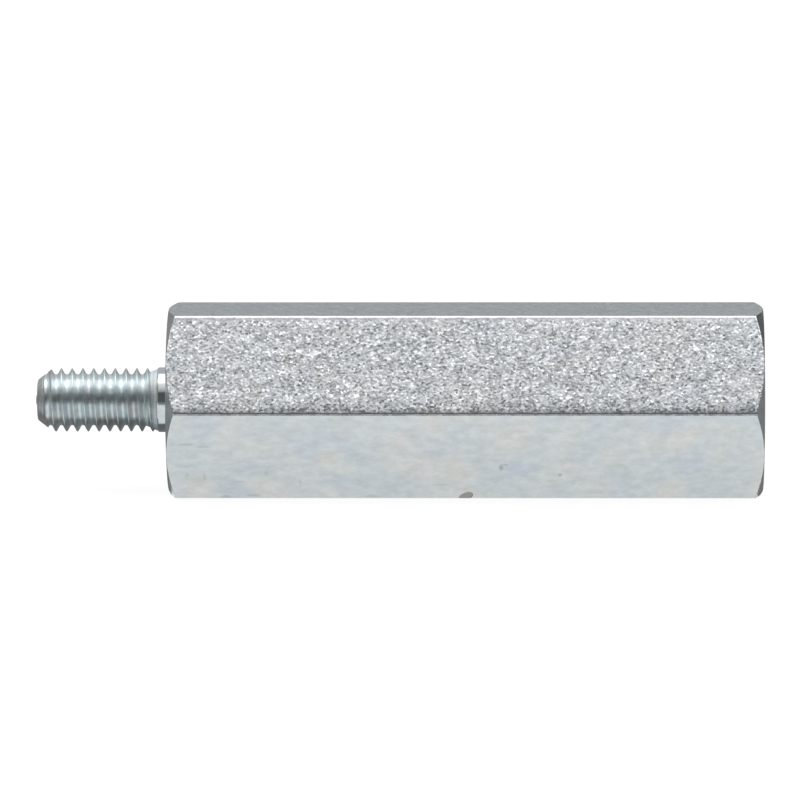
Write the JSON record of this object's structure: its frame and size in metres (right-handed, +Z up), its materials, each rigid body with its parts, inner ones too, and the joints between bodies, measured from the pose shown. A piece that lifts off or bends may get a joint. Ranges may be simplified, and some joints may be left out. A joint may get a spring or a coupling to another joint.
{
  "type": "hexagon spacer",
  "caption": "Long hexagon spacer with chamfered ends, a short threaded stud at one end and a tapped blind hole in the other.",
  "frame": {"origin": "centre of the shoulder face, on the axis, where the stud leaves the hexagon body", "axes": "+X along the axis towards the tapped end, with the stud pointing towards -X; +Z up, with the spacer lying on one of its flats; +Y across"},
  "size_m": [0.0674, 0.0196, 0.017],
  "materials": {
    "zinc_plated_steel": "clear zinc plating, bright, with a fine grain on the drawn flats"
  },
  "bodies": {
    "root": {"spacer": "zinc_plated_steel"}
  },
  "joints": []
}
